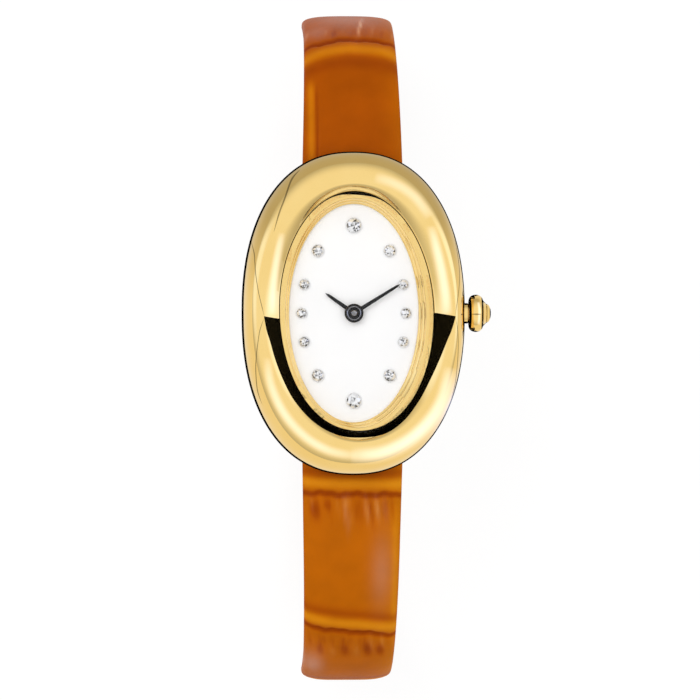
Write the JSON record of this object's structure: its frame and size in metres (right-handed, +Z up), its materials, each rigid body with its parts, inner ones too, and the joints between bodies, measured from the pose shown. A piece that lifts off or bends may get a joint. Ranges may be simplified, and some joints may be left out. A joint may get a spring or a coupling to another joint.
{
  "type": "oval wristwatch",
  "caption": "Small oval wristwatch: domed gold case, stepped inner ring, white dial with stones at the hours, black hands, crown and a buckled leather strap.",
  "frame": {"origin": "On the plane that the keepers and buckle rest on, at the middle of the fixed keeper's flat underside, straight under the middle of the dial", "axes": "+X to the crown at 3 o'clock, +Y to 12 o'clock, +Z up out of the dial"},
  "size_m": [0.0257, 0.071, 0.0387],
  "materials": {
    "gold": "polished gold plate",
    "steel": "satin",
    "rubber": "matt",
    "crystal": "clear polished",
    "dial_white": "smooth satin lacquer",
    "stone": "cut and polished",
    "setting": "polished",
    "hand_black": "gloss lacquer",
    "brass": "as cut",
    "magnet": "ground",
    "plate": "nickel plated, satin",
    "spacer": "moulded",
    "cell": "bright",
    "iron": "annealed",
    "copper": "enamelled wire",
    "board": "solder mask",
    "strap_leather": "glossy embossed",
    "lining_leather": "matt"
  },
  "bodies": {
    "watch_body": {"case": "gold", "case_back": "steel", "back_gasket": "rubber", "crystal": "crystal", "rehaut_ring": "gold", "dial": "dial_white", "dial_stones": "stone", "stone_settings": "setting", "main_plate": "plate", "train_bridge": "plate", "movement_screws": "steel", "movement_ring": "spacer", "battery": "cell", "battery_clamp": "steel", "coil_core": "iron", "coil_winding": "copper", "stator": "iron", "circuit_board": "board", "quartz_can": "cell", "case_tube": "gold", "spring_bar_12": "steel", "spring_bar_6": "steel", "buckle_bar": "steel", "strap_short_upper": "strap_leather", "strap_short_lining": "lining_leather", "strap_long_upper": "strap_leather", "strap_long_lining": "lining_leather", "fixed_keeper": "strap_leather"},
    "minute_works": {"minute_hand": "hand_black", "centre_wheel": "brass"},
    "hour_works": {"hour_hand": "hand_black", "hour_wheel": "brass"},
    "minute_wheel": {"minute_wheel": "brass"},
    "intermediate_wheel": {"intermediate_wheel": "brass"},
    "rotor": {"rotor": "magnet"},
    "clutch": {"clutch_pinion": "steel"},
    "crown": {"crown": "gold", "stem": "steel", "crown_gasket": "rubber"},
    "setting_lever": {"setting_lever": "steel"},
    "free_keeper": {"free_keeper": "strap_leather"},
    "buckle_frame": {"buckle_frame": "gold"},
    "buckle_tongue": {"buckle_tongue": "gold"}
  },
  "joints": [
    {"name": "minute_turn", "type": "hinge", "parent": "watch_body", "child": "minute_works", "pos_m": [0, 0, 0.03416], "axis": [0, 0, -1], "continuous": true},
    {"name": "hour_turn", "type": "hinge", "parent": "watch_body", "child": "hour_works", "pos_m": [0, 0, 0.03491], "axis": [0, 0, -1], "continuous": true},
    {"name": "minute_wheel_turn", "type": "hinge", "parent": "watch_body", "child": "minute_wheel", "pos_m": [0.00184, -0.00154, 0.03491], "axis": [0, 0, -1], "continuous": true},
    {"name": "intermediate_turn", "type": "hinge", "parent": "watch_body", "child": "intermediate_wheel", "pos_m": [-0.00163, 0.00208, 0.03416], "axis": [0, 0, -1], "continuous": true},
    {"name": "rotor_turn", "type": "hinge", "parent": "watch_body", "child": "rotor", "pos_m": [-0.0037, 0.00328, 0.03416], "axis": [0, 0, -1], "continuous": true},
    {"name": "crown_turn", "type": "hinge", "parent": "watch_body", "child": "clutch", "pos_m": [0.00385, 0, 0.03451], "axis": [1, 0, 0], "continuous": true},
    {"name": "crown_pull", "type": "slide", "parent": "clutch", "child": "crown", "axis": [1, 0, 0], "range_m": [0, 0.0008]},
    {"name": "setting_lever_swing", "type": "hinge", "parent": "watch_body", "child": "setting_lever", "pos_m": [0.00562, -0.0019, 0.03386], "axis": [0, 0, -1], "range_deg": [0, 24]},
    {"name": "free_keeper_slide", "type": "slide", "parent": "watch_body", "child": "free_keeper", "axis": [0, 1, 0], "range_m": [-0.004, 0.006]},
    {"name": "buckle_swing", "type": "hinge", "parent": "watch_body", "child": "buckle_frame", "pos_m": [0, -0.0066, 0.0047], "axis": [1, 0, 0], "range_deg": [0, 3]},
    {"name": "tongue_lift", "type": "hinge", "parent": "buckle_frame", "child": "buckle_tongue", "pos_m": [0, -0.0066, 0.0047], "axis": [1, 0, 0], "range_deg": [0, 3]}
  ],
  "couplings": [
    {"joint": "hour_turn", "follows": "minute_turn", "ratio": 0.083333},
    {"joint": "minute_wheel_turn", "follows": "minute_turn", "ratio": -0.33333},
    {"joint": "intermediate_turn", "follows": "minute_turn", "ratio": -10},
    {"joint": "rotor_turn", "follows": "minute_turn", "ratio": 90},
    {"joint": "setting_lever_swing", "follows": "crown_pull", "rad_per_m": 518.74}
  ]
}
